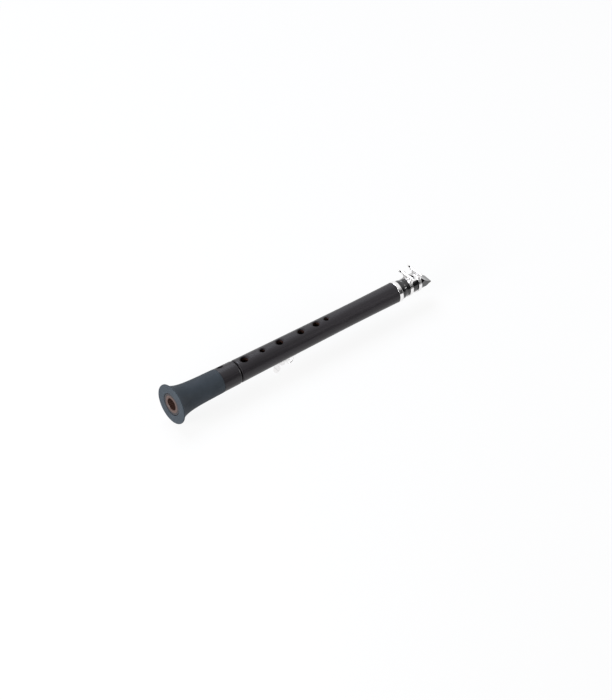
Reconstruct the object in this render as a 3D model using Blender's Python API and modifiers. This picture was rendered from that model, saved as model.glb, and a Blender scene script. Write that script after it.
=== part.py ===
"""Pocket clarinet: a small keyless clarinet with a wooden body, a rubber bell sleeve and an inverted ligature.

The bore lies along +X, from the bell's end face to the mouthpiece's tip, and the tone holes look up (+Z).
The model's origin is under the middle of its box, and its lowest point, the thumb hook's tip, is at z = 0.
"""
from math import cos, exp, pi, radians, sin, sqrt, tan

import bmesh
import bpy
from mathutils import Matrix, Vector

MM = 0.001
SEGMENTS = 48
SMALL_SEGMENTS = 20
SMOOTH_ANGLE = radians(32)

# Clearances
FIT = 0.2
SEAT = 0.1
JOINT_GAP = 0.9

# Lengths along the bore, counted from the bell's end face
SLEEVE_LENGTH = 66.0
FOOT_LENGTH = 91.0
MAIN_LENGTH = 232.7
MOUTHPIECE_LENGTH = 45.1
FOOT_TENON = 12.2
MOUTHPIECE_TENON = 14.6
SHOULDER_GAP = 0.3
BODY_START = FOOT_LENGTH + JOINT_GAP
BODY_END = BODY_START + MAIN_LENGTH
SHOULDER = BODY_END + SHOULDER_GAP
TOTAL_LENGTH = SHOULDER + MOUTHPIECE_LENGTH
TENON_START = FOOT_LENGTH - FOOT_TENON + FIT
MOUTH_TENON_START = BODY_END - MOUTHPIECE_TENON + FIT

# Turned wood
BORE_R = 7.5
FOOT_SEAT_R = 13.7
FOOT_R = 14.45
FOOT_TOP_R = 14.15
BODY_FOOT_R = 13.95
WAIST_R = 12.1
WAIST_AT = BODY_END - 59.6
BODY_TOP_R = 12.4
EDGE_ROUND = 2.0
FOOT_TENON_R = 9.9
FOOT_SOCKET_R = 10.8
MOUTH_SOCKET_R = 9.8
CORK_SEAT_DEPTH = 0.7
TENON_RING = 1.9
WOOD_RECESS = 0.5

# Socket ring
RING_LENGTH = 4.7
RING_R = 12.75
RING_WALL = 0.7

# Rubber bell sleeve
LIP_R = 24.5
LIP_THICKNESS = 1.8
SLEEVE_END_R = 14.65
SLEEVE_TAPER = 0.018
FLARE_RISE = 8.5
FLARE_LENGTH = 10.3

# Tone holes: name, place along the bore, radius, rim radius, angle round the bore from the top towards +Y
FRONT_HOLES = [
    ("sixth", BODY_START + 11.7, 4.7, 6.0, 0.0),
    ("fifth", BODY_START + 37.5, 3.1, 4.3, 0.0),
    ("fourth", BODY_START + 62.2, 4.3, 5.6, 0.0),
    ("third", BODY_START + 92.7, 4.0, 5.3, 0.0),
    ("second", BODY_START + 114.8, 3.9, 5.2, 0.0),
    ("first", BODY_START + 129.4, 2.8, 3.9, 0.0),
]
THUMB_HOLE = ("thumb", BODY_START + 139.6, 3.3, 4.4, 180.0)
FOOT_HOLE = ("seventh", FOOT_LENGTH - 17.0, 3.8, 4.7, 30.0)

# Mouthpiece
SHANK_R = 11.45
SHANK_LENGTH = 4.5
BEAK_BODY_R = 10.45
BEAK_END_R = 9.9
MOUTH_TENON_R = 9.3
MOUTH_BORE_R = 6.0
MOUTH_BORE_END = TOTAL_LENGTH - 24.0
BEAK_LENGTH = 18.0
BEAK_START = TOTAL_LENGTH - BEAK_LENGTH
TIP_HEIGHT = -3.9
TABLE_START = SHOULDER + 7.1
TABLE_HEIGHT = -8.75
TABLE_RISE = 0.1
LAY_START = TOTAL_LENGTH - 20.0
TIP_OPENING = 0.7
TIP_HALF_WIDTH = 6.1
CHAMBER_HALF_WIDTH = 4.4
WINDOW_START = TOTAL_LENGTH - 23.0
TIP_RAIL = 0.9
BEAK_TOP_R = 11.3
BEAK_WALL = 2.75

# Reed
REED_LENGTH = 37.6
REED_START = TOTAL_LENGTH - REED_LENGTH
REED_HEEL = 2.2
REED_TIP = 0.3
REED_HALF_BUTT = 5.3
REED_HALF_TIP = 5.8
VAMP_START = TOTAL_LENGTH - 25.0

# Ligature
LIGATURE_R = 10.85
LIGATURE_DROP = 0.25
LIGATURE_WALL = 0.55
BAND_WIDTH = 4.3
BAND_SPACING = 12.3
REAR_BAND_AT = SHOULDER + 13.4
FRONT_BAND_AT = REAR_BAND_AT + BAND_SPACING
LIGATURE_LEAN = radians(7)
LIGATURE_TURN = radians(5)
SLIT_ANGLE = radians(21)
SLIT_WIDTH = 2.6
PLATE_HEIGHT = 8.6
WINDOW_ANGLE = radians(10)
WINDOW_HALF_LENGTH = 3.8
WINDOW_HALF_WIDTH = 2.1
POST_R = 1.85
POST_STAND = 0.3
POST_FORWARD = 1.2
POST_FOOT_HALF_WIDTH = 1.1
NEAR_POST = (-8.8, -3.4)
FAR_POST = (5.7, 8.0)
SCREW_R = 1.1
SCREW_TIP = -7.0
COLLAR = (0.2, 5.4)
COLLAR_R = 1.55
HUB_R = 2.1
HUB_LENGTH = 2.2
WING_REACH = 5.8
WING_SPAN = 9.8
WING_THICKNESS = 1.6
WING_SETBACK = 0.2
REAR_WING_ANGLE = radians(35)
FRONT_WING_ANGLE = radians(55)

# Thumb rest
PLATE_START = BODY_START + 45.1
PLATE_END = PLATE_START + 37.0
PLATE_HALF_WIDTH = 6.6
PLATE_WALL = 1.1
RAIL_START = PLATE_START + 4.5
RAIL_END = PLATE_END - 4.5
RAIL_HALF_WIDTH = 3.0
RAIL_NECK_HALF_WIDTH = 2.0
RAIL_HEIGHT = 1.7
RAIL_NECK_HEIGHT = 0.8
SLIDE_START = PLATE_START + 11.0
SLIDE_END = SLIDE_START + 15.4
SLIDE_HALF_WIDTH = 5.2
SLIDE_HEIGHT = 2.6
HOOK_REACH = 29.5
HOOK_BASE_AT = SLIDE_START + 0.4
HOOK_BULGE = 1.7
HOOK_CURL = 3.2
HOOK_WALL = 1.4
HOOK_HALF_WIDTH = 4.8
HOOK_TIP_HALF_WIDTH = 3.7
LOCK_AT = SLIDE_START + 9.2
LOCK_HEAD_R = 3.7
LOCK_HEAD_HEIGHT = 4.0
LOCK_SHANK_R = 1.2
LUG_REACH = 3.8
LUG_WALL = 1.2
LUG_DROP = 2.7
LUG_HALF_WIDTH = 2.6
LUG_HOLE_R = 1.4
LUG_HOLE_INSET = 2.2
STRAP_RING_R = 4.7
STRAP_WIRE_R = 0.65
STRAP_RING_SWING = radians(31)
PLATE_SCREW_R = 0.9
PLATE_SCREW_HEAD_R = 1.9
PLATE_SCREW_LENGTH = 4.6

# The bore's height over the surface that the part lies on
AXIS_HEIGHT = max(HOOK_REACH, LIP_R)

# How far a cutter reaches past what it cuts
CUT_REACH = 2 * LIP_R

COLOURS = {
    "stained_wood": ((0.018, 0.015, 0.017, 1.0), 0.38, 0.0),
    "rubber": ((0.030, 0.036, 0.045, 1.0), 0.75, 0.0),
    "silver": ((0.86, 0.86, 0.88, 1.0), 0.15, 1.0),
    "ebonite": ((0.006, 0.006, 0.007, 1.0), 0.12, 0.0),
    "cork": ((0.55, 0.36, 0.20, 1.0), 0.9, 0.0),
    "cane": ((0.62, 0.47, 0.22, 1.0), 0.55, 0.0),
    "steel": ((0.60, 0.60, 0.60, 1.0), 0.3, 1.0),
}


for old in list(bpy.data.objects):
    bpy.data.objects.remove(old, do_unlink=True)

parts = bpy.data.collections.new("pocket_clarinet")
cutters = bpy.data.collections.new("cutters")
bpy.context.scene.collection.children.link(parts)
bpy.context.scene.collection.children.link(cutters)

bore_axis = bpy.data.objects.new("bore_axis", None)
bore_axis.location = (-TOTAL_LENGTH / 2 * MM, 0.0, AXIS_HEIGHT * MM)
parts.objects.link(bore_axis)


def finish_of(name):
    """The material of one finish, made the first time that it is asked for."""
    material = bpy.data.materials.get(name)
    if material:
        return material
    colour, roughness, metallic = COLOURS[name]
    material = bpy.data.materials.new(name)
    material.use_nodes = True
    shader = material.node_tree.nodes["Principled BSDF"]
    shader.inputs["Base Color"].default_value = colour
    shader.inputs["Roughness"].default_value = roughness
    shader.inputs["Metallic"].default_value = metallic
    material.diffuse_color = colour
    return material


def piece(name, mesh, finish=None, pivot=(0.0, 0.0, 0.0)):
    """An object in the bore's frame, with its origin on its joint's axis; a cutter has no finish."""
    mesh.transform(Matrix.Translation(-Vector(pivot)))
    mesh.transform(Matrix.Scale(MM, 4))
    obj = bpy.data.objects.new(name, mesh)
    obj.location = Vector(pivot) * MM
    obj.parent = bore_axis
    if finish:
        mesh.materials.append(finish_of(finish))
        mesh.shade_smooth()
        mesh.set_sharp_from_angle(angle=SMOOTH_ANGLE)
        parts.objects.link(obj)
    else:
        obj.hide_render = True
        obj.display_type = "WIRE"
        cutters.objects.link(obj)
    return obj


def evaluated_mesh(obj):
    """The mesh that an object's modifiers or curve make, as a mesh of its own; the object is removed."""
    bpy.context.scene.collection.objects.link(obj)
    graph = bpy.context.evaluated_depsgraph_get()
    mesh = bpy.data.meshes.new_from_object(obj.evaluated_get(graph))
    bpy.data.objects.remove(obj, do_unlink=True)
    return mesh


def turned(profile, segments=SEGMENTS):
    """A closed profile of (place, radius) turned about the bore; it runs down its outer side first."""
    mesh = bpy.data.meshes.new("profile")
    points = [(radius, 0.0, place) for place, radius in profile]
    edges = [(i, (i + 1) % len(points)) for i in range(len(points))]
    mesh.from_pydata(points, edges, [])
    obj = bpy.data.objects.new("profile", mesh)
    screw = obj.modifiers.new("turn", "SCREW")
    screw.axis = "Z"
    screw.angle = 2 * pi
    screw.steps = segments
    screw.render_steps = segments
    screw.use_merge_vertices = True
    screw.merge_threshold = 0.0001
    result = evaluated_mesh(obj)
    result.transform(Matrix.Rotation(pi / 2, 4, "Y"))
    return result


def rounded_edge(place, radius, size, way, steps=4):
    """Points of a quarter round: from the cylinder's side to its end face, which looks along way."""
    turns = [pi / 2 * i / steps for i in range(steps + 1)]
    return [(place - way * size * (1 - sin(a)), radius - size * (1 - cos(a))) for a in turns]


def rod(radius, start, end, segments=SMALL_SEGMENTS, end_radius=None):
    """A cylinder or cone between two points."""
    start, end = Vector(start), Vector(end)
    mesh = bpy.data.meshes.new("rod")
    bm = bmesh.new()
    bmesh.ops.create_cone(
        bm, cap_ends=True, segments=segments, radius1=radius,
        radius2=radius if end_radius is None else end_radius, depth=(end - start).length,
    )
    turn = (end - start).to_track_quat("Z", "Y").to_matrix().to_4x4()
    bm.transform(Matrix.Translation((start + end) / 2) @ turn)
    bm.to_mesh(mesh)
    bm.free()
    return mesh


def block(low, high):
    """A box between two corners."""
    mesh = bpy.data.meshes.new("block")
    bm = bmesh.new()
    bmesh.ops.create_cube(bm, size=1.0)
    low, high = Vector(low), Vector(high)
    size = high - low
    bm.transform(Matrix.Translation((low + high) / 2) @ Matrix.Diagonal((*size, 1.0)))
    bm.to_mesh(mesh)
    bm.free()
    return mesh


def prism(outline, half_depth):
    """A flat outline of (x, z) points, drawn out on both sides of the XZ plane."""
    curve = bpy.data.curves.new("outline", "CURVE")
    curve.dimensions = "2D"
    curve.fill_mode = "BOTH"
    curve.extrude = half_depth
    spline = curve.splines.new("POLY")
    spline.points.add(len(outline) - 1)
    for point, (x, z) in zip(spline.points, outline):
        point.co = (x, z, 0.0, 1.0)
    spline.use_cyclic_u = True
    mesh = evaluated_mesh(bpy.data.objects.new("outline", curve))
    bm = bmesh.new()
    bm.from_mesh(mesh)
    bmesh.ops.remove_doubles(bm, verts=bm.verts, dist=0.0001)
    bmesh.ops.recalc_face_normals(bm, faces=bm.faces)
    bm.to_mesh(mesh)
    bm.free()
    mesh.transform(Matrix.Rotation(pi / 2, 4, "X"))
    return mesh


def boolean(obj, tool, operation="DIFFERENCE"):
    """A live Boolean; the tool is a mesh, which becomes a cutter in the bore's frame."""
    cutter = piece(obj.name + "_tool_%d" % (len(obj.modifiers) + 1), tool)
    modifier = obj.modifiers.new(operation.lower(), "BOOLEAN")
    modifier.operation = operation
    modifier.solver = "EXACT"
    modifier.object = cutter


def arc(centre, radius, start, end, steps):
    """Points of an arc, with its angles in degrees."""
    turns = [radians(start + (end - start) * i / steps) for i in range(steps + 1)]
    return [(centre[0] + radius * cos(a), centre[1] + radius * sin(a)) for a in turns]


def body_radius(place):
    """The main body's outer radius: it narrows to a waist and swells again towards the socket."""
    if place < WAIST_AT:
        share = (WAIST_AT - place) / (WAIST_AT - BODY_START)
        return WAIST_R + (BODY_FOOT_R - WAIST_R) * share ** 1.35
    share = (place - WAIST_AT) / (BODY_END - WAIST_AT)
    return WAIST_R + (BODY_TOP_R - WAIST_R) * share ** 1.5


def foot_radius(place):
    """The bare foot's outer radius."""
    share = (place - SLEEVE_LENGTH) / (FOOT_LENGTH - SLEEVE_LENGTH)
    return FOOT_R + (FOOT_TOP_R - FOOT_R) * share


def sleeve_radius(place):
    """The rubber sleeve's outer radius: a slight taper and an exponential flare."""
    return SLEEVE_END_R + SLEEVE_TAPER * (SLEEVE_LENGTH - place) + FLARE_RISE * exp(-place / FLARE_LENGTH)


def tone_hole(obj, hole, surface_radius):
    """Cuts a tone hole with its dished rim."""
    name, place, radius, rim_radius, angle = hole
    outward = Vector((0.0, sin(radians(angle)), cos(radians(angle))))
    centre = Vector((place, 0.0, 0.0))
    boolean(obj, rod(radius, centre + outward * BORE_R * 0.4, centre + outward * (surface_radius + 5), 24))
    rim_depth = (rim_radius - radius) * 0.75
    slope = (rim_radius - radius) / rim_depth
    chord_drop = surface_radius - sqrt(surface_radius ** 2 - rim_radius ** 2)
    inner_radius = radius * 0.6
    low = surface_radius - rim_depth - chord_drop * 0.5 - (radius - inner_radius) / slope
    high = surface_radius + 2.0
    wide = inner_radius + (high - low) * slope
    boolean(obj, rod(inner_radius, centre + outward * low, centre + outward * high, 26, wide))


def bell_sleeve():
    """The rubber sleeve with its flared bell and lip, stretched over the foot's seat."""
    inner = FOOT_SEAT_R + FIT
    stations = [56, 46, 37, 30, 24, 19, 15, 12, 9.5, 7.3, 5.5, 4, 2.8]
    profile = [(SLEEVE_LENGTH, inner), (SLEEVE_LENGTH, SLEEVE_END_R - 0.3)]
    profile += [(SLEEVE_LENGTH - 0.4, SLEEVE_END_R)]
    profile += [(s, sleeve_radius(s)) for s in stations]
    profile += [(LIP_THICKNESS, sleeve_radius(LIP_THICKNESS) + 0.1)]
    profile += [(LIP_THICKNESS, LIP_R - 0.5), (LIP_THICKNESS - 0.4, LIP_R)]
    profile += [(0.7, LIP_R), (0.2, LIP_R - 0.25), (0.0, LIP_R - 0.8)]
    profile += [(0.0, inner + 0.4), (0.35, inner)]
    return piece("bell_sleeve", turned(profile), "rubber")


def foot_joint():
    """The wooden foot: sleeve seat, bare wood with the seventh hole, and the socket for the tenon."""
    socket_floor = FOOT_LENGTH - FOOT_TENON
    profile = [(FOOT_LENGTH, FOOT_SOCKET_R)]
    profile += rounded_edge(FOOT_LENGTH, FOOT_TOP_R, EDGE_ROUND, 1)[::-1]
    profile += [(SLEEVE_LENGTH + FIT, FOOT_R), (SLEEVE_LENGTH + FIT, FOOT_SEAT_R)]
    profile += [(WOOD_RECESS + 0.4, FOOT_SEAT_R), (WOOD_RECESS, FOOT_SEAT_R - 0.4)]
    profile += [(WOOD_RECESS, BORE_R + 0.3), (WOOD_RECESS + 0.3, BORE_R)]
    profile += [(socket_floor, BORE_R), (socket_floor, FOOT_SOCKET_R)]
    foot = piece("foot_joint", turned(profile), "stained_wood")
    tone_hole(foot, FOOT_HOLE, foot_radius(FOOT_HOLE[1]))
    return foot


def main_body():
    """The main wooden body: tenon, tone holes, bore and the mouthpiece's socket."""
    start = BODY_START
    tenon_end = TENON_START
    ring_start = BODY_END - RING_LENGTH
    ring_seat_r = RING_R - RING_WALL - SEAT
    straight = ring_start - start - 12.0
    stations = [ring_start - 3.0 - straight * i / 13 for i in range(13)]
    profile = [(BODY_END, MOUTH_SOCKET_R), (BODY_END, ring_seat_r), (ring_start, ring_seat_r)]
    profile += [(ring_start, BODY_TOP_R - 0.3), (ring_start - 0.4, BODY_TOP_R)]
    profile += [(s, body_radius(s)) for s in stations]
    profile += rounded_edge(start, BODY_FOOT_R, EDGE_ROUND, -1)
    cork_seat_r = FOOT_TENON_R - CORK_SEAT_DEPTH
    profile += [(start, FOOT_TENON_R), (start - TENON_RING, FOOT_TENON_R), (start - TENON_RING, cork_seat_r)]
    profile += [(tenon_end + TENON_RING, cork_seat_r), (tenon_end + TENON_RING, FOOT_TENON_R)]
    profile += [(tenon_end, FOOT_TENON_R), (tenon_end, BORE_R)]
    socket_floor = BODY_END - MOUTHPIECE_TENON
    profile += [(socket_floor, BORE_R), (socket_floor, MOUTH_SOCKET_R)]
    body = piece("main_body", turned(profile), "stained_wood")
    for hole in FRONT_HOLES + [THUMB_HOLE]:
        tone_hole(body, hole, body_radius(hole[1]))
    for place, side in plate_screw_places():
        depth = body_radius(place)
        boolean(body, rod(PLATE_SCREW_R + FIT, (place, side, -depth - 1), (place, side, -depth + PLATE_SCREW_LENGTH), 12))
    return body


def cork_sleeve(start, end, seat_r, socket_r):
    """A cork wrapped round a tenon, between its seat and the socket's wall."""
    inner = seat_r + SEAT
    outer = socket_r - FIT
    profile = [(end, inner), (end, outer - 0.2), (end - 0.2, outer), (start + 0.2, outer), (start, outer - 0.2), (start, inner)]
    return turned(profile)


def tenon_cork():
    mesh = cork_sleeve(TENON_START + TENON_RING + SEAT, BODY_START - TENON_RING - SEAT, FOOT_TENON_R - CORK_SEAT_DEPTH, FOOT_SOCKET_R)
    return piece("tenon_cork", mesh, "cork")


def socket_ring():
    """The polished ring that keeps the socket from splitting."""
    start = BODY_END - RING_LENGTH + SEAT
    end = BODY_END + 0.1
    inner = RING_R - RING_WALL
    profile = [(end, inner), (end, RING_R - 0.35), (end - 0.12, RING_R - 0.12), (end - 0.4, RING_R)]
    profile += [(start + 0.4, RING_R), (start + 0.12, RING_R - 0.12), (start, RING_R - 0.35), (start, inner)]
    return piece("socket_ring", turned(profile), "silver")


def beak_slope():
    """The beak's outer line from its start down to the tip: a hollow curve."""
    steps = 8
    length = TOTAL_LENGTH - BEAK_START
    points = []
    for i in range(steps + 1):
        share = i / steps
        fall = (BEAK_TOP_R - TIP_HEIGHT) * (1.28 * share - 0.28 * share ** 2)
        points.append((BEAK_START + length * share, BEAK_TOP_R - fall))
    return points


def table_height(place):
    """The flat that the reed lies on rises towards the tip."""
    return TABLE_HEIGHT + TABLE_RISE * (place - TABLE_START)


def lay_height(place):
    """The lay: the rails curve away from the reed near the tip."""
    share = max(0.0, (place - LAY_START) / (TOTAL_LENGTH - LAY_START))
    return table_height(place) + TIP_OPENING * share ** 2


def mouthpiece():
    """The mouthpiece: a turned blank, then the beak, the table and lay, the side cuts and the chamber."""
    start = SHOULDER
    tenon_end = MOUTH_TENON_START
    seat = MOUTH_TENON_R - CORK_SEAT_DEPTH
    end = TOTAL_LENGTH + 2.0
    bore_end = [(MOUTH_BORE_END, 0.0), (MOUTH_BORE_END, MOUTH_BORE_R)]
    profile = [(end, 0.0), (end, BEAK_END_R - 0.4), (BEAK_START, BEAK_END_R)]
    profile += [(start + SHANK_LENGTH + 3.2, BEAK_BODY_R), (start + SHANK_LENGTH, SHANK_R - 0.15)]
    profile += rounded_edge(start, SHANK_R, 0.7, -1, 3)
    profile += [(start, MOUTH_TENON_R), (start - TENON_RING, MOUTH_TENON_R), (start - TENON_RING, seat)]
    profile += [(tenon_end + TENON_RING, seat), (tenon_end + TENON_RING, MOUTH_TENON_R)]
    profile += [(tenon_end, MOUTH_TENON_R), (tenon_end, MOUTH_BORE_R), bore_end[1], bore_end[0]]
    blank = piece("mouthpiece", turned_solid(profile), "ebonite")
    slope = beak_slope()
    boolean(blank, prism([(end + 1, TIP_HEIGHT)] + slope[::-1] + [(BEAK_START, CUT_REACH), (end + 1, CUT_REACH)], CUT_REACH))
    lay = [LAY_START + (TOTAL_LENGTH - LAY_START) * i / 5 for i in range(6)]
    under = [(s, lay_height(s)) for s in lay]
    boolean(blank, prism([(TABLE_START, -CUT_REACH), (end + 1, -CUT_REACH), (end + 1, under[-1][1])] + under[::-1] + [(TABLE_START, table_height(TABLE_START))], CUT_REACH))
    boolean(blank, block((TOTAL_LENGTH, -CUT_REACH, -CUT_REACH), (end + 2, CUT_REACH, CUT_REACH)))
    for side in (-1, 1):
        wedge = prism([(BEAK_START, BEAK_END_R + 0.1), (TOTAL_LENGTH + 1, TIP_HALF_WIDTH - 0.2), (TOTAL_LENGTH + 1, CUT_REACH), (BEAK_START, CUT_REACH)], CUT_REACH)
        wedge.transform(Matrix.Rotation(-side * pi / 2, 4, "X"))
        boolean(blank, wedge)
    baffle = [(x, z - BEAK_WALL) for x, z in slope if MOUTH_BORE_R - 0.8 > z - BEAK_WALL]
    last = TOTAL_LENGTH - TIP_RAIL
    baffle = [(x, z) for x, z in baffle if x < last - 1.5]
    chamber = [(MOUTH_BORE_END - 3, MOUTH_BORE_R - 0.8), (baffle[0][0] - 1.5, MOUTH_BORE_R - 0.8)] + baffle
    chamber += [(last, lay_height(last) - 0.1), (last, -14), (WINDOW_START, -14), (WINDOW_START, -4), (MOUTH_BORE_END - 3, -4)]
    boolean(blank, prism(chamber, CHAMBER_HALF_WIDTH))
    return blank


def turned_solid(profile):
    """A turned shape whose profile starts and ends on the axis."""
    mesh = turned(profile)
    bm = bmesh.new()
    bm.from_mesh(mesh)
    bmesh.ops.remove_doubles(bm, verts=bm.verts, dist=0.001)
    bmesh.ops.dissolve_degenerate(bm, edges=bm.edges, dist=0.0005)
    bmesh.ops.recalc_face_normals(bm, faces=bm.faces)
    bm.to_mesh(mesh)
    bm.free()
    return mesh


def mouthpiece_cork():
    mesh = cork_sleeve(MOUTH_TENON_START + TENON_RING + SEAT, SHOULDER - TENON_RING - SEAT, MOUTH_TENON_R - CORK_SEAT_DEPTH, MOUTH_SOCKET_R)
    return piece("mouthpiece_cork", mesh, "cork")


def reed():
    """The cane reed, lofted from its bark-backed heel to the thin tip."""
    heel = VAMP_START - REED_START
    blade = TOTAL_LENGTH - SEAT - VAMP_START
    stations = [REED_START, REED_START + heel / 2] + [VAMP_START + blade * i / 6 for i in range(7)]
    across = 8
    bm = bmesh.new()
    rings = []
    for s in stations:
        share = (s - REED_START) / (TOTAL_LENGTH - REED_START)
        half = REED_HALF_BUTT + (REED_HALF_TIP - REED_HALF_BUTT) * share
        vamp = max(0.0, (s - VAMP_START) / (TOTAL_LENGTH - VAMP_START))
        thick = REED_TIP + (REED_HEEL - REED_TIP) * (1 - vamp) ** 1.3
        top = table_height(s) - SEAT
        ring = [bm.verts.new((s, -half, top)), bm.verts.new((s, half, top))]
        for i in range(across + 1):
            y = half - 2 * half * i / across
            crown = 1 - 0.55 * (y / half) ** 2 * (1 - vamp)
            ring.append(bm.verts.new((s, y, top - thick * crown)))
        rings.append(ring)
    for first, second in zip(rings, rings[1:]):
        for i in range(len(first)):
            j = (i + 1) % len(first)
            bm.faces.new((first[i], first[j], second[j], second[i]))
    bm.faces.new(rings[0][::-1])
    bm.faces.new(rings[-1])
    bmesh.ops.recalc_face_normals(bm, faces=bm.faces)
    mesh = bpy.data.meshes.new("reed")
    bm.to_mesh(mesh)
    bm.free()
    return piece("reed", mesh, "cane")


def ligature_place(mesh):
    """Leans the ligature's top towards the tip and turns it round the bore."""
    lean = Matrix.Identity(4)
    lean[0][2] = tan(LIGATURE_LEAN)
    mesh.transform(Matrix.Translation((0, 0, -LIGATURE_DROP)) @ lean)
    middle = Vector((0, 0, -LIGATURE_DROP))
    turn = Matrix.Rotation(-LIGATURE_TURN, 4, "X")
    mesh.transform(Matrix.Translation(middle) @ turn @ Matrix.Translation(-middle))
    return mesh


def ligature_bands():
    """One stamped sheet: two bands under the reed, bridged at the top by a slit plate with an oval window."""
    low = REAR_BAND_AT - BAND_WIDTH / 2
    high = FRONT_BAND_AT + BAND_WIDTH / 2
    outer = LIGATURE_R + LIGATURE_WALL
    sheet = turned([(high, LIGATURE_R), (high, outer), (low, outer), (low, LIGATURE_R)])
    obj = piece("ligature_bands", ligature_place(sheet), "silver")
    inner_low = REAR_BAND_AT + BAND_WIDTH / 2
    inner_high = FRONT_BAND_AT - BAND_WIDTH / 2
    boolean(obj, ligature_place(block((inner_low, -CUT_REACH, -CUT_REACH), (inner_high, CUT_REACH, PLATE_HEIGHT))))
    slit = block((low - 5, -SLIT_WIDTH / 2, 4), (high + 5, SLIT_WIDTH / 2, CUT_REACH))
    slit.transform(Matrix.Rotation(-SLIT_ANGLE, 4, "X"))
    boolean(obj, ligature_place(slit))
    window = rod(1.0, (0, 0, 6), (0, 0, 18), 28)
    window.transform(Matrix.Diagonal((WINDOW_HALF_WIDTH, WINDOW_HALF_LENGTH, 1, 1)))
    window.transform(Matrix.Translation(((inner_low + inner_high) / 2, 0, 0)) @ Matrix.Rotation(WINDOW_ANGLE, 4, "X"))
    boolean(obj, ligature_place(window))
    return obj


def post_height():
    """The screws' height over the ligature's middle."""
    return LIGATURE_R + LIGATURE_WALL + POST_STAND + POST_R


def ligature_post(name, band_at, span):
    """A drilled post on a foot that is shaped to the band."""
    height = post_height()
    low, high = span
    place = band_at + POST_FORWARD
    obj = piece(name, ligature_place(rod(POST_R, (place, low, height), (place, high, height))), "silver")
    inset = 0.4
    half = POST_FOOT_HALF_WIDTH
    foot = block((place - half, low + inset, LIGATURE_R - 4.5), (place + half, high - inset, height - 0.4))
    boolean(obj, ligature_place(foot), "UNION")
    seat_r = LIGATURE_R + LIGATURE_WALL + SEAT
    low_end, high_end = place - 9, place + 9
    boolean(obj, ligature_place(turned([(high_end, 1), (high_end, seat_r), (low_end, seat_r), (low_end, 1)])))
    boolean(obj, ligature_place(rod(SCREW_R + FIT, (place, low - 3, height), (place, high + 3, height))))
    return obj


def wing_outline():
    """Half a wing nut's outline as (out from the hub, sideways), from its root round its tip to the middle."""
    half = WING_SPAN / 2
    outline = [(0.0, HUB_R - 0.2), (1.1, HUB_R), (1.9, half * 0.66), (2.7, half * 0.9), (3.9, half)]
    outline += [(WING_REACH - 0.7, half * 0.94), (WING_REACH, half * 0.7), (WING_REACH - 0.5, half * 0.5)]
    outline += [(WING_REACH - 1.5, half * 0.24), (WING_REACH - 1.8, 0.0)]
    return [(sideways, out) for out, sideways in outline]


def ligature_screw(name, band_at, turn_angle):
    """A wing screw over the ligature's top; its wings stand out past the far post."""
    height = post_height()
    place = band_at + POST_FORWARD
    head = FAR_POST[1] + FIT
    half = wing_outline()
    wings = prism(half + [(-x, y) for x, y in half[-2::-1]], WING_THICKNESS / 2)
    wings.transform(Matrix.Rotation(-pi / 2, 4, "X"))
    wings.transform(Matrix.Rotation(turn_angle, 4, "Y"))
    wings.transform(Matrix.Translation((place, head + WING_SETBACK, height)))
    pivot_mesh = bpy.data.meshes.new("pivot")
    pivot_mesh.from_pydata([(place, 0, height)], [], [])
    pivot = ligature_place(pivot_mesh).vertices[0].co.copy()
    shank = rod(SCREW_R, (place, SCREW_TIP, height), (place, head + 1.5, height))
    screw = piece(name, ligature_place(shank), "silver", tuple(pivot))
    boolean(screw, ligature_place(rod(COLLAR_R, (place, COLLAR[0], height), (place, COLLAR[1], height))), "UNION")
    boolean(screw, ligature_place(rod(HUB_R, (place, head, height), (place, head + HUB_LENGTH, height))), "UNION")
    boolean(screw, ligature_place(wings), "UNION")
    return screw


def plate_screw_places():
    """Where the thumb rest's wood screws stand: one at the lower end and two at the upper."""
    low = (PLATE_START + RAIL_START) / 2
    high = (PLATE_END + RAIL_END) / 2
    return [(low, 0.0), (high, -3.4), (high, 3.4)]


def plate_surface():
    """The depth of the thumb rest plate's outer face under the bore's axis."""
    return body_radius(PLATE_START) + SEAT + PLATE_WALL


def thumb_plate():
    """The base plate: a curved sheet on the wood, with a T rail for the slide."""
    inner = body_radius(PLATE_START) + SEAT
    outer = inner + PLATE_WALL
    mesh = turned([(PLATE_END, inner), (PLATE_END, outer), (PLATE_START, outer), (PLATE_START, inner)], 64)
    obj = piece("thumb_plate", mesh, "silver")
    corner = 3.0
    x0, x1, y1 = PLATE_START, PLATE_END, PLATE_HALF_WIDTH
    outline = arc((x1 - corner, y1 - corner), corner, 0, 90, 4) + arc((x0 + corner, y1 - corner), corner, 90, 180, 4)
    outline += arc((x0 + corner, -y1 + corner), corner, 180, 270, 4) + arc((x1 - corner, -y1 + corner), corner, 270, 360, 4)
    shape = prism(outline, 10)
    shape.transform(Matrix.Rotation(pi / 2, 4, "X"))
    shape.transform(Matrix.Translation((0, 0, -15)))
    boolean(obj, shape, "INTERSECT")
    top = outer
    neck = block((RAIL_START, -RAIL_NECK_HALF_WIDTH, -top - RAIL_NECK_HEIGHT - 0.3), (RAIL_END, RAIL_NECK_HALF_WIDTH, -inner - 0.5))
    boolean(obj, neck, "UNION")
    head = block((RAIL_START, -RAIL_HALF_WIDTH, -top - RAIL_HEIGHT), (RAIL_END, RAIL_HALF_WIDTH, -top - RAIL_NECK_HEIGHT))
    boolean(obj, head, "UNION")
    for place, side in plate_screw_places():
        boolean(obj, rod(PLATE_SCREW_R + FIT, (place, side, -outer - 3), (place, side, -inner + 3), 16))
        face = sqrt(outer ** 2 - side ** 2)
        boolean(obj, rod(PLATE_SCREW_HEAD_R + FIT, (place, side, -face - 1.0), (place, side, -face + 0.55), 16))
    return obj


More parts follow.
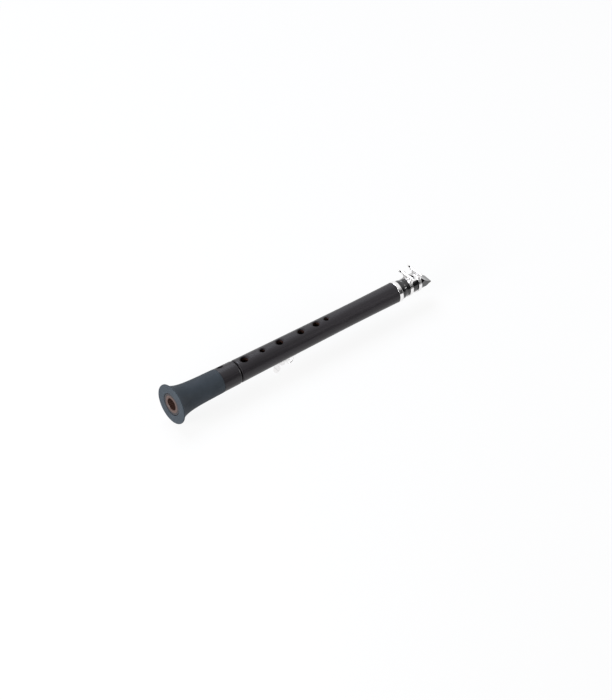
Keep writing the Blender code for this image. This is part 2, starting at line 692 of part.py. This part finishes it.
def plate_screw(name, place, side):
    """A wood screw with a slotted pan head, sunk in the base plate."""
    face = sqrt(plate_surface() ** 2 - side ** 2)
    under_head = -face + 0.55 - SEAT
    mesh = rod(PLATE_SCREW_R, (place, side, under_head - 0.5), (place, side, -body_radius(place) + PLATE_SCREW_LENGTH - 0.4), 12, 0.4)
    obj = piece(name, mesh, "steel")
    boolean(obj, rod(PLATE_SCREW_HEAD_R - 0.3, (place, side, under_head - 1.1), (place, side, under_head), 16, PLATE_SCREW_HEAD_R), "UNION")
    boolean(obj, block((place - 2.5, side - 0.25, under_head - 2), (place + 2.5, side + 0.25, under_head - 0.65)))
    return obj


def slide_top():
    """The depth at which the slide starts, under the base plate."""
    return plate_surface() + FIT


def thumb_slide():
    """The slide: a block that hugs the rail, with the strap ring's lug at its upper end."""
    top = slide_top()
    low = top + SLIDE_HEIGHT
    obj = piece("thumb_slide", block((SLIDE_START, -SLIDE_HALF_WIDTH, -low), (SLIDE_END, SLIDE_HALF_WIDTH, -top)), "silver")
    surface = plate_surface()
    gap = FIT
    boolean(obj, block((SLIDE_START - 2, -RAIL_NECK_HALF_WIDTH - gap, -top - 2), (SLIDE_END + 2, RAIL_NECK_HALF_WIDTH + gap, -top + 2)))
    boolean(obj, block((SLIDE_START - 2, -RAIL_HALF_WIDTH - gap, -surface - RAIL_HEIGHT - gap), (SLIDE_END + 2, RAIL_HALF_WIDTH + gap, -surface - RAIL_NECK_HEIGHT + gap)))
    pin = lug_pin()
    foot = pin[2] - LUG_WALL / 2
    outline = [(SLIDE_END - LUG_WALL, -low + 0.4), (SLIDE_END - LUG_WALL, foot), (SLIDE_END + LUG_REACH, foot)]
    outline += [(SLIDE_END + LUG_REACH, foot + LUG_WALL), (SLIDE_END, foot + LUG_WALL), (SLIDE_END, -low + 0.4)]
    boolean(obj, prism(outline, LUG_HALF_WIDTH), "UNION")
    boolean(obj, rod(LUG_HOLE_R, (pin[0], 0, pin[2] - 2), (pin[0], 0, pin[2] + 2), 16))
    boolean(obj, rod(LOCK_SHANK_R + FIT, (LOCK_AT, 0, -low - 2), (LOCK_AT, 0, -surface - RAIL_HEIGHT + 0.1), 16))
    return obj


def lug_pin():
    """The middle of the hole in the lug, where the strap ring hangs."""
    low = slide_top() + SLIDE_HEIGHT
    return Vector((SLIDE_END + LUG_REACH - LUG_HOLE_INSET, 0.0, -low - LUG_DROP + LUG_WALL / 2))


def thumb_hook():
    """The thumb hook: a bent tongue, hollow towards the bell, with a rounded end."""
    top = slide_top() + SLIDE_HEIGHT + SEAT
    bottom = HOOK_REACH
    steps = 12
    outer, inner = [], []
    for i in range(steps + 1):
        share = i / steps
        depth = top + (bottom - top) * share
        lean = HOOK_BULGE * sin(pi * share) - HOOK_CURL * share ** 2.2
        place = HOOK_BASE_AT + lean + 1.4 * share
        outer.append((place + HOOK_WALL, -depth))
        inner.append((place, -depth))
    obj = piece("thumb_hook", prism(outer + inner[::-1], HOOK_HALF_WIDTH), "silver")
    half, tip = HOOK_HALF_WIDTH, HOOK_TIP_HALF_WIDTH
    shape = [(-half, -top + 1), (-half, -bottom + 9)]
    shape += [(-tip - (half - tip) * cos(pi / 2 * i / 4), -bottom + 5 - 3.2 * sin(pi / 2 * i / 4)) for i in range(5)]
    shape += arc((-tip + 2.0, -bottom + 2.0), 2.0, 180, 270, 4)
    shape += [(-y, z) for y, z in shape[::-1]]
    tongue = prism(shape, 12)
    tongue.transform(Matrix.Rotation(pi / 2, 4, "Z"))
    tongue.transform(Matrix.Translation((HOOK_BASE_AT, 0, 0)))
    boolean(obj, tongue, "INTERSECT")
    return obj


def lock_screw():
    """The knurled screw that locks the slide on its rail."""
    low = slide_top() + SLIDE_HEIGHT
    tip = plate_surface() + RAIL_HEIGHT + FIT
    obj = piece("lock_screw", rod(LOCK_SHANK_R, (LOCK_AT, 0, -low - 1), (LOCK_AT, 0, -tip), 16), "silver", (LOCK_AT, 0, -low))
    teeth = 24
    rim = []
    for i in range(teeth * 2):
        angle = pi * i / teeth
        radius = LOCK_HEAD_R - (0.25 if i % 2 else 0.0)
        rim.append((LOCK_AT + radius * cos(angle), radius * sin(angle)))
    head = prism(rim, LOCK_HEAD_HEIGHT / 2)
    head.transform(Matrix.Rotation(pi / 2, 4, "X"))
    head.transform(Matrix.Translation((0, 0, -low - FIT - LOCK_HEAD_HEIGHT / 2)))
    boolean(obj, head, "UNION")
    boolean(obj, block((LOCK_AT - 5, -0.4, -low - FIT - LOCK_HEAD_HEIGHT - 1), (LOCK_AT + 5, 0.4, -low - FIT - LOCK_HEAD_HEIGHT + 0.8)))
    return obj


def strap_ring():
    """The strap ring, threaded through the lug and lying out towards the mouthpiece."""
    pin = lug_pin()
    angle = STRAP_RING_SWING
    centre = pin + Vector((cos(angle), 0.0, -sin(angle))) * STRAP_RING_R
    around, across = 28, 10
    bm = bmesh.new()
    rings = []
    for i in range(around):
        a = 2 * pi * i / around
        outward = Vector((cos(a), 0, sin(a)))
        ring = []
        for j in range(across):
            b = 2 * pi * j / across
            ring.append(bm.verts.new(centre + outward * (STRAP_RING_R + STRAP_WIRE_R * cos(b)) + Vector((0, STRAP_WIRE_R * sin(b), 0))))
        rings.append(ring)
    for i in range(around):
        first, second = rings[i], rings[(i + 1) % around]
        for j in range(across):
            k = (j + 1) % across
            bm.faces.new((first[j], first[k], second[k], second[j]))
    bmesh.ops.recalc_face_normals(bm, faces=bm.faces)
    mesh = bpy.data.meshes.new("strap_ring")
    bm.to_mesh(mesh)
    bm.free()
    return piece("strap_ring", mesh, "silver", tuple(pin))


bell_sleeve()
foot_joint()
main_body()
tenon_cork()
socket_ring()
mouthpiece()
mouthpiece_cork()
reed()
ligature_bands()
for band_name, band_at in (("rear", REAR_BAND_AT), ("front", FRONT_BAND_AT)):
    ligature_post("ligature_post_%s_near" % band_name, band_at, NEAR_POST)
    ligature_post("ligature_post_%s_far" % band_name, band_at, FAR_POST)
ligature_screw("ligature_screw_rear", REAR_BAND_AT, REAR_WING_ANGLE)
ligature_screw("ligature_screw_front", FRONT_BAND_AT, FRONT_WING_ANGLE)
thumb_plate()
for number, (place, side) in enumerate(plate_screw_places(), 1):
    plate_screw("plate_screw_%d" % number, place, side)
thumb_slide()
thumb_hook()
lock_screw()
strap_ring()
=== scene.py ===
# %% [markdown]
# # A pocket clarinet, dressed in Blender
# The model's solids are already packed: turned wood, a rubber bell sleeve, a mouthpiece with its
# reed and ligature, and a sliding thumb rest. This lesson gives them their finishes, then sets up
# the floor, the light and the camera. Everything is in metres, and the bore lies along X.

from math import radians

import bpy
from mathutils import Matrix, Vector


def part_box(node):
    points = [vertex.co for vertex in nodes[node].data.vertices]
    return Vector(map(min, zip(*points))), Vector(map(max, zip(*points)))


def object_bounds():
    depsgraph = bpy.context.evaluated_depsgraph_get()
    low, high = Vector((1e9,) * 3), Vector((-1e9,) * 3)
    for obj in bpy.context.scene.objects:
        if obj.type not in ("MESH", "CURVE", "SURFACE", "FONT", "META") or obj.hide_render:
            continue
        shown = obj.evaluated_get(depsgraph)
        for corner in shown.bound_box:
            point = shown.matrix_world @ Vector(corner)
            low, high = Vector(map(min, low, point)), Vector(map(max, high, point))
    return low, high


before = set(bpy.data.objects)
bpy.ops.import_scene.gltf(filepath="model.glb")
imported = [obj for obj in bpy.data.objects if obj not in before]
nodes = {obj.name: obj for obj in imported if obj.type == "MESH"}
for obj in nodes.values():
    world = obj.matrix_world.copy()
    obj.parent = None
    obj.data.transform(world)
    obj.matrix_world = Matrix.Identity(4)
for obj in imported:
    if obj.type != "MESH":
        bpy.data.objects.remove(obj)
packed_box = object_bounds()
print("nodes:", len(nodes))

# %% [markdown]
# ## Where the bore runs
# Several finishes change with the distance from the bore, because stained wood is darkest outside
# and shows its own brown where a drill has opened it. The bore's height comes from the bell sleeve,
# which is round about it, and its ends from the whole model's box.

# %% Measure the bore's axis
sleeve_low, sleeve_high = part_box("bell_sleeve")
BORE_HEIGHT = (sleeve_low[2] + sleeve_high[2]) / 2
BELL_END = packed_box[0][0]
MM = 0.001
print("bore height in mm:", round(BORE_HEIGHT / MM, 2))

# %% [markdown]
# ## Small helpers for materials
# A material here is a Principled shader plus a few texture nodes that read Object coordinates. One
# helper adds a node and sets its sockets, and another starts a material with its fixed values on
# the shader's own sockets, where an export can read them.

# %% Helpers for nodes and materials
def add_node(tree, kind, **sockets):
    """Adds a node of one kind and sets the sockets that are named, with spaces as underscores."""
    node = tree.nodes.new(kind)
    for name, value in sockets.items():
        node.inputs[name.replace("_", " ")].default_value = value
    return node


def new_material(name, colour, roughness, **sockets):
    """A material with its Principled shader, and the coordinates of its object."""
    material = bpy.data.materials.new(name)
    material.use_nodes = True
    tree = material.node_tree
    shader = tree.nodes["Principled BSDF"]
    shader.inputs["Base Color"].default_value = (*colour, 1.0)
    shader.inputs["Roughness"].default_value = roughness
    for key, value in sockets.items():
        shader.inputs[key.replace("_", " ")].default_value = value
    place = add_node(tree, "ShaderNodeTexCoord").outputs["Object"]
    return material, tree, shader, place


def give(material, *names):
    """Puts a material on CAD nodes, in place of the plain one that they were packed with."""
    for name in names:
        slots = nodes[name].material_slots
        for slot in slots:
            slot.material = material
    print(material.name, "on", len(names), "nodes")


def math_node(tree, operation, first, second=None, clamp=False):
    """A Math node on sockets or numbers."""
    node = tree.nodes.new("ShaderNodeMath")
    node.operation = operation
    node.use_clamp = clamp
    for socket, value in zip(node.inputs, (first, second)):
        if value is None:
            continue
        if isinstance(value, (int, float)):
            socket.default_value = value
        else:
            tree.links.new(value, socket)
    return node.outputs[0]


# %% [markdown]
# ## Wear and grain as node groups
# Two effects are on more than one finish, so each is a group. The first gives fine streaks that run
# along the bore, as wood pores and polishing marks do. The second gives soft blotches, as handling
# leaves on rubber and metal.

# %% Node groups for streaks and blotches
def start_group(name, inputs):
    """A shader group with a vector input, number inputs and one number output."""
    group = bpy.data.node_groups.new(name, "ShaderNodeTree")
    group.interface.new_socket("Place", in_out="INPUT", socket_type="NodeSocketVector")
    for title, value in inputs:
        socket = group.interface.new_socket(title, in_out="INPUT", socket_type="NodeSocketFloat")
        socket.default_value = value
    group.interface.new_socket("Amount", in_out="OUTPUT", socket_type="NodeSocketFloat")
    return group, group.nodes.new("NodeGroupInput"), group.nodes.new("NodeGroupOutput")


def streak_group():
    group, source, result = start_group("streaks", [("Length", 30.0), ("Fineness", 2200.0)])
    stretch = group.nodes.new("ShaderNodeCombineXYZ")
    group.links.new(source.outputs["Length"], stretch.inputs["X"])
    group.links.new(source.outputs["Fineness"], stretch.inputs["Y"])
    group.links.new(source.outputs["Fineness"], stretch.inputs["Z"])
    scaled = group.nodes.new("ShaderNodeVectorMath")
    scaled.operation = "MULTIPLY"
    group.links.new(source.outputs["Place"], scaled.inputs[0])
    group.links.new(stretch.outputs[0], scaled.inputs[1])
    noise = add_node(group, "ShaderNodeTexNoise", Scale=1.0, Detail=4.0, Roughness=0.6)
    group.links.new(scaled.outputs[0], noise.inputs["Vector"])
    group.links.new(noise.outputs["Fac"], result.inputs["Amount"])
    return group


def blotch_group():
    group, source, result = start_group("blotches", [("Size", 60.0)])
    noise = add_node(group, "ShaderNodeTexNoise", Detail=5.0, Roughness=0.55)
    group.links.new(source.outputs["Place"], noise.inputs["Vector"])
    group.links.new(source.outputs["Size"], noise.inputs["Scale"])
    group.links.new(noise.outputs["Fac"], result.inputs["Amount"])
    return group


streaks = streak_group()
blotches = blotch_group()
print("groups:", streaks.name, blotches.name)


def use_group(tree, group, place, **values):
    """Places a group in a material with its own values."""
    node = tree.nodes.new("ShaderNodeGroup")
    node.node_tree = group
    tree.links.new(place, node.inputs["Place"])
    for title, value in values.items():
        node.inputs[title].default_value = value
    return node.outputs["Amount"]


def colour_ramp(tree, fac, stops):
    """A ColorRamp through (place, colour) stops."""
    node = tree.nodes.new("ShaderNodeValToRGB")
    ramp = node.color_ramp
    while len(ramp.elements) < len(stops):
        ramp.elements.new(0.5)
    for element, (at, colour) in zip(ramp.elements, stops):
        element.position = at
        element.color = (*colour, 1.0)
    tree.links.new(fac, node.inputs["Fac"])
    return node.outputs["Color"]


def bump(tree, shader, height, strength, distance):
    """A Bump node on the shader's normal."""
    node = add_node(tree, "ShaderNodeBump", Strength=strength, Distance=distance)
    tree.links.new(height, node.inputs["Height"])
    tree.links.new(node.outputs["Normal"], shader.inputs["Normal"])


def remap(tree, value, low, high, to_low, to_high):
    """A Map Range node between two pairs of limits, clamped."""
    node = tree.nodes.new("ShaderNodeMapRange")
    for title, number in (("From Min", low), ("From Max", high), ("To Min", to_low), ("To Max", to_high)):
        node.inputs[title].default_value = number
    tree.links.new(value, node.inputs["Value"])
    return node.outputs["Result"]


# %% [markdown]
# ## Stained wood
# The body is a dense dark wood, stained almost black with a trace of purple, and oiled rather than
# varnished, so it has a broad soft sheen. Long fine pores break the sheen up. The stain doesn't
# reach the drilled walls: inside the holes and the bore the wood is red-brown. The distance from
# the bore's axis tells the two apart.

# %% Stained wood on the foot and the main body
STAIN_DARK = (0.0065, 0.0050, 0.0068)
STAIN_LIGHT = (0.0150, 0.0120, 0.0160)
BARE_DARK = (0.030, 0.013, 0.009)
BARE_LIGHT = (0.075, 0.042, 0.034)


def bore_distance(tree, place):
    """How far a point is from the bore's axis, in metres."""
    centred = add_node(tree, "ShaderNodeVectorMath")
    centred.operation = "MULTIPLY_ADD"
    centred.inputs[1].default_value = (0.0, 1.0, 1.0)
    centred.inputs[2].default_value = (0.0, 0.0, -BORE_HEIGHT)
    tree.links.new(place, centred.inputs[0])
    length = add_node(tree, "ShaderNodeVectorMath")
    length.operation = "LENGTH"
    tree.links.new(centred.outputs[0], length.inputs[0])
    return length.outputs["Value"]


def mix_colours(tree, fac, first, second):
    """A colour Mix node on sockets."""
    node = tree.nodes.new("ShaderNodeMix")
    node.data_type = "RGBA"
    tree.links.new(fac, node.inputs["Factor"])
    tree.links.new(first, node.inputs["A"])
    tree.links.new(second, node.inputs["B"])
    return node.outputs["Result"]


def stained_wood():
    material, tree, shader, place = new_material("stained_wood", STAIN_DARK, 0.4, Specular_IOR_Level=0.35)
    pores = use_group(tree, streaks, place, Length=24.0, Fineness=1900.0)
    figure = use_group(tree, streaks, place, Length=6.0, Fineness=260.0)
    stain = colour_ramp(tree, figure, [(0.30, STAIN_DARK), (0.75, STAIN_LIGHT)])
    bare = colour_ramp(tree, pores, [(0.35, BARE_DARK), (0.70, BARE_LIGHT)])
    depth = bore_distance(tree, place)
    inside = remap(tree, depth, 11.2 * MM, 10.6 * MM, 0.0, 1.0)
    tree.links.new(mix_colours(tree, inside, stain, bare), shader.inputs["Base Color"])
    tree.links.new(remap(tree, pores, 0.35, 0.75, 0.30, 0.46), shader.inputs["Roughness"])
    bump(tree, shader, pores, 0.12, 0.05 * MM)
    return material


give(stained_wood(), "foot_joint", "main_body")

# %% [markdown]
# ## Rubber sleeve
# The sleeve is moulded from soft rubber, a dark blue-grey with no gloss. Rubber scatters light a
# little at glancing angles, and it has a fine skin from its mould.

# %% Rubber on the bell sleeve
RUBBER_DARK = (0.020, 0.027, 0.035)
RUBBER_LIGHT = (0.029, 0.038, 0.048)


def moulded_rubber():
    material, tree, shader, place = new_material("moulded_rubber", RUBBER_DARK, 0.62, Specular_IOR_Level=0.25)
    cloud = use_group(tree, blotches, place, Size=70.0)
    skin = use_group(tree, blotches, place, Size=1400.0)
    shade = colour_ramp(tree, cloud, [(0.30, RUBBER_DARK), (0.72, RUBBER_LIGHT)])
    tree.links.new(shade, shader.inputs["Base Color"])
    tree.links.new(remap(tree, skin, 0.3, 0.7, 0.55, 0.72), shader.inputs["Roughness"])
    bump(tree, shader, skin, 0.15, 0.04 * MM)
    return material


give(moulded_rubber(), "bell_sleeve")

# %% [markdown]
# ## Polished plate
# The socket ring, the ligature and the thumb rest are silver plate on brass. Polishing leaves very
# fine lines, and fingers leave the roughness uneven.

# %% Silver plate on the metalwork
PLATE_COLOUR = (0.88, 0.87, 0.87)
STEEL_COLOUR = (0.56, 0.55, 0.54)


def silver_plate():
    material, tree, shader, place = new_material("silver_plate", PLATE_COLOUR, 0.12, Metallic=1.0)
    smears = use_group(tree, blotches, place, Size=180.0)
    lines = use_group(tree, blotches, place, Size=2600.0)
    tree.links.new(remap(tree, smears, 0.35, 0.70, 0.07, 0.20), shader.inputs["Roughness"])
    bump(tree, shader, lines, 0.05, 0.02 * MM)
    return material


METALWORK = [
    "socket_ring", "ligature_bands", "ligature_post_rear_near", "ligature_post_rear_far",
    "ligature_post_front_near", "ligature_post_front_far", "ligature_screw_rear", "ligature_screw_front",
    "thumb_plate", "thumb_slide", "thumb_hook", "lock_screw", "strap_ring",
]
give(silver_plate(), *METALWORK)


def turned_steel():
    material, tree, shader, place = new_material("turned_steel", STEEL_COLOUR, 0.28, Metallic=1.0)
    smears = use_group(tree, blotches, place, Size=900.0)
    tree.links.new(remap(tree, smears, 0.3, 0.7, 0.2, 0.4), shader.inputs["Roughness"])
    return material


give(turned_steel(), "plate_screw_1", "plate_screw_2", "plate_screw_3")

# %% [markdown]
# ## Mouthpiece, cork and reed
# The mouthpiece is ebonite, a hard black rubber that polishes like glass. The reed is a slip of
# cane with straight fibres along its length, and the tenons are wrapped in cork.

# %% Ebonite, cane and cork
EBONITE = (0.0045, 0.0045, 0.005)
CANE = (0.40, 0.30, 0.14)
CANE_FIBRE = (0.24, 0.16, 0.06)
CANE_PITH = (0.52, 0.40, 0.20)
CORK = (0.40, 0.24, 0.12)
CORK_PIT = (0.16, 0.08, 0.035)
CORK_FACE = (0.42, 0.26, 0.13)


def ebonite():
    polish = {"Coat_Weight": 0.4, "Coat_Roughness": 0.05}
    material, tree, shader, place = new_material("ebonite", EBONITE, 0.1, **polish)
    smears = use_group(tree, blotches, place, Size=240.0)
    tree.links.new(remap(tree, smears, 0.35, 0.70, 0.07, 0.18), shader.inputs["Roughness"])
    return material


def cane():
    material, tree, shader, place = new_material("cane", CANE, 0.5)
    fibres = use_group(tree, streaks, place, Length=14.0, Fineness=3200.0)
    shade = colour_ramp(tree, fibres, [(0.32, CANE_FIBRE), (0.70, CANE_PITH)])
    tree.links.new(shade, shader.inputs["Base Color"])
    bump(tree, shader, fibres, 0.3, 0.05 * MM)
    return material


def cork():
    material, tree, shader, place = new_material("cork", CORK, 0.85)
    grains = use_group(tree, blotches, place, Size=1100.0)
    shade = colour_ramp(tree, grains, [(0.35, CORK_PIT), (0.55, CORK_FACE)])
    tree.links.new(shade, shader.inputs["Base Color"])
    bump(tree, shader, grains, 0.5, 0.1 * MM)
    return material


give(ebonite(), "mouthpiece")
give(cane(), "reed")
give(cork(), "tenon_cork", "mouthpiece_cork")

# %% [markdown]
# ## Floor and background
# The photograph has a clean white ground. The floor is a white surface that shows itself as almost
# pure white to the camera and to reflections, and still takes a little of the object's shadow. The
# world beyond it does the same.

# %% White floor
def white_to_the_eye(tree):
    """One for rays that the camera, a reflection or glass sends out, and nought for the others."""
    path = tree.nodes.new("ShaderNodeLightPath")
    seen = math_node(tree, "ADD", path.outputs["Is Camera Ray"], path.outputs["Is Glossy Ray"])
    return math_node(tree, "ADD", seen, path.outputs["Is Transmission Ray"], clamp=True)


FLOOR_SIZE = 12.0
FLOOR_COLOUR = (0.85, 0.85, 0.85, 1.0)
WHITENESS = 0.88
bpy.ops.mesh.primitive_plane_add(size=FLOOR_SIZE, location=(0.0, 0.0, 0.0))
floor = bpy.context.object
floor.name = "floor"
floor_material = bpy.data.materials.new("white_floor")
floor_material.use_nodes = True
floor_tree = floor_material.node_tree
floor_shader = floor_tree.nodes["Principled BSDF"]
floor_shader.inputs["Base Color"].default_value = FLOOR_COLOUR
floor_shader.inputs["Roughness"].default_value = 0.8
glow = add_node(floor_tree, "ShaderNodeEmission", Strength=1.0)
blend_node = floor_tree.nodes.new("ShaderNodeMixShader")
glow_share = math_node(floor_tree, "MULTIPLY", white_to_the_eye(floor_tree), WHITENESS)
floor_tree.links.new(glow_share, blend_node.inputs[0])
floor_tree.links.new(floor_shader.outputs[0], blend_node.inputs[1])
floor_tree.links.new(glow.outputs[0], blend_node.inputs[2])
floor_tree.links.new(blend_node.outputs[0], floor_tree.nodes["Material Output"].inputs["Surface"])
floor.data.materials.append(floor_material)
print("floor:", FLOOR_SIZE, "m square")

# %% [markdown]
# ## The room around it
# Polished metal and ebonite show what they face. The world is bright behind and above the clarinet
# and dark in front of it, so that their reflections have both a light and a dark side.

# %% Soft world light
BRIGHT_SIDE = (0.30, 0.80, 0.52)
WORLD_STRENGTH = 0.16
SKY_MIRROR = 1.0
ROOM_MIRROR = 0.05
world = bpy.data.worlds.new("white_room")
bpy.context.scene.world = world
world.use_nodes = True
world_tree = world.node_tree
background = world_tree.nodes["Background"]
background.inputs["Color"].default_value = (1.0, 1.0, 1.0, 1.0)
way = world_tree.nodes.new("ShaderNodeTexCoord").outputs["Generated"]
toward_back = add_node(world_tree, "ShaderNodeVectorMath")
toward_back.operation = "DOT_PRODUCT"
toward_back.inputs[1].default_value = Vector(BRIGHT_SIDE).normalized()
world_tree.links.new(way, toward_back.inputs[0])
mirror = remap(world_tree, toward_back.outputs["Value"], -0.15, 0.35, ROOM_MIRROR, SKY_MIRROR)
path = world_tree.nodes.new("ShaderNodeLightPath")
shown = math_node(world_tree, "MAXIMUM", path.outputs["Is Camera Ray"], path.outputs["Is Transmission Ray"])
glossy = math_node(world_tree, "MULTIPLY", path.outputs["Is Glossy Ray"], mirror)
plain = math_node(world_tree, "MULTIPLY", path.outputs["Is Diffuse Ray"], WORLD_STRENGTH)
total = math_node(world_tree, "ADD", math_node(world_tree, "ADD", shown, glossy), plain)
world_tree.links.new(total, background.inputs["Strength"])
print("world strength on the object:", WORLD_STRENGTH)

# %% [markdown]
# ## Light
# A large soft box stands off the bell's end, because the lip's flat face is the brightest dark
# surface in the photograph. A second one hangs behind the clarinet and gives the wood its faint
# bluish upper side, and a small one on the right picks out the rounded edges of the joint.

# %% Studio lights
def soft_box(name, place, aim, size, power, colour=(1.0, 1.0, 1.0)):
    """A square area light at a place, turned to look at a point."""
    light = bpy.data.lights.new(name, "AREA")
    light.shape = "SQUARE"
    light.size = size
    light.energy = power
    light.color = colour
    lamp = bpy.data.objects.new(name, light)
    lamp.location = place
    lamp.rotation_euler = (Vector(aim) - Vector(place)).to_track_quat("-Z", "Y").to_euler()
    bpy.context.scene.collection.objects.link(lamp)
    print(name, "of", power, "W")


BELL = (-0.15, 0.0, 0.03)
MIDDLE = (0.0, 0.0, 0.03)
DAYLIGHT = (0.86, 0.90, 1.0)
soft_box("bell_side_light", (-1.6, -0.25, 0.45), BELL, size=0.9, power=42.0)
soft_box("overhead_light", (0.1, 0.9, 1.5), MIDDLE, size=1.0, power=22.0, colour=DAYLIGHT)
soft_box("right_light", (1.2, -0.8, 0.5), MIDDLE, size=0.4, power=8.0)

# %% [markdown]
# ## Camera
# The photograph was taken from high on the bell's side with a long lens, which leaves the body's
# edges almost parallel. The camera's three directions come from its two angles, and its aim from
# where one point of the bore, 155 mm from the bell's end, lies in the picture.

# %% Camera at the photograph's angle
AZIMUTH = radians(-37.7)
ELEVATION = radians(40.7)
IMAGE_WIDTH, IMAGE_HEIGHT = 612, 700
SENSOR = 36.0
MM_PER_PIXEL = 1.139
FOCAL_PIXELS = 6000.0
KNOWN_PLACE = 155.0 * MM
KNOWN_PIXEL = (280.20, 349.77)

turn = Matrix.Rotation(AZIMUTH, 3, "Z") @ Matrix.Rotation(radians(90.0) - ELEVATION, 3, "X")
right, up, back = turn.col[0], turn.col[1], turn.col[2]
known = Vector((BELL_END + KNOWN_PLACE, 0.0, BORE_HEIGHT))
across = (IMAGE_WIDTH / 2 - KNOWN_PIXEL[0]) * MM_PER_PIXEL * MM
above = (KNOWN_PIXEL[1] - IMAGE_HEIGHT / 2) * MM_PER_PIXEL * MM
camera_data = bpy.data.cameras.new("camera")
camera_data.sensor_width = SENSOR
camera_data.lens = FOCAL_PIXELS * SENSOR / max(IMAGE_WIDTH, IMAGE_HEIGHT)
camera_data.clip_end = 100.0
camera = bpy.data.objects.new("camera", camera_data)
distance = FOCAL_PIXELS * MM_PER_PIXEL * MM
stand = known + right * across + up * above + back * distance
camera.matrix_world = Matrix.Translation(stand) @ turn.to_4x4()
bpy.context.scene.collection.objects.link(camera)
bpy.context.scene.camera = camera
bpy.context.scene.view_settings.view_transform = "Standard"
print("camera distance in m:", round(distance, 3), "lens in mm:", round(camera_data.lens, 1))
